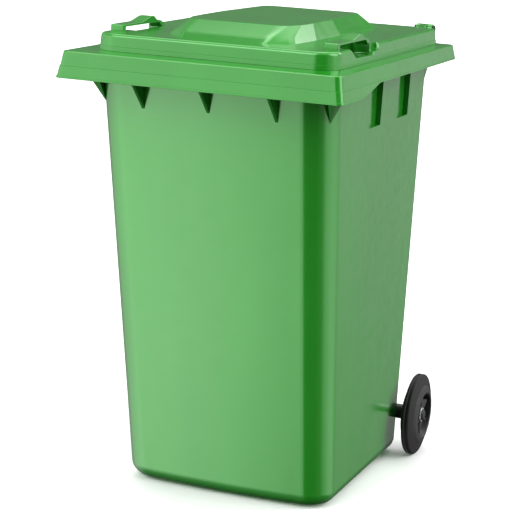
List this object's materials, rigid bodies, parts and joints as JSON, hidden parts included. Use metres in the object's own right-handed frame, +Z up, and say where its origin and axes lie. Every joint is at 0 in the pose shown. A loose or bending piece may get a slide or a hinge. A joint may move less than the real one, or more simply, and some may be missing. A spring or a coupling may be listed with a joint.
{
  "type": "wheelie bin",
  "caption": "Large two-wheeled refuse bin with a tapered tub, comb-lift rim, hinged domed lid with side grips, rear handle and an axle with rubber-tyred wheels.",
  "frame": {"origin": "centre of the plan box on the ground, with the bin standing upright", "axes": "+Z up, +X to the right of someone facing the front, front of the bin faces -Y and the wheels are at +Y"},
  "size_m": [0.6458, 0.8912, 1.0838],
  "materials": {
    "green_body": "glossy",
    "green_lid": "glossy",
    "black_plastic": "satin",
    "tyre_rubber": "matte",
    "zinc_steel": "satin"
  },
  "bodies": {
    "bin": {"bin_body": "green_body", "axle": "zinc_steel", "hinge_pin_right": "black_plastic", "hinge_pin_left": "black_plastic", "hinge_pin_cap_right": "black_plastic", "hinge_pin_cap_left": "black_plastic", "axle_spacer_right": "black_plastic", "axle_spacer_left": "black_plastic", "inner_washer_right": "zinc_steel", "inner_washer_left": "zinc_steel", "outer_washer_right": "zinc_steel", "outer_washer_left": "zinc_steel", "axle_cap_right": "black_plastic", "axle_cap_left": "black_plastic"},
    "lid": {"lid": "green_lid"},
    "wheel_right": {"wheel_rim_right": "black_plastic", "tyre_right": "tyre_rubber"},
    "wheel_left": {"wheel_rim_left": "black_plastic", "tyre_left": "tyre_rubber"}
  },
  "joints": [
    {"name": "lid_hinge", "type": "hinge", "parent": "bin", "child": "lid", "pos_m": [0, 0.41265, 1.042], "axis": [-1, 0, 0], "range_deg": [0, 250]},
    {"name": "wheel_right_spin", "type": "hinge", "parent": "bin", "child": "wheel_right", "pos_m": [0.296, 0.34565, 0.1], "axis": [1, 0, 0], "continuous": true},
    {"name": "wheel_left_spin", "type": "hinge", "parent": "bin", "child": "wheel_left", "pos_m": [-0.296, 0.34565, 0.1], "axis": [1, 0, 0], "continuous": true}
  ]
}
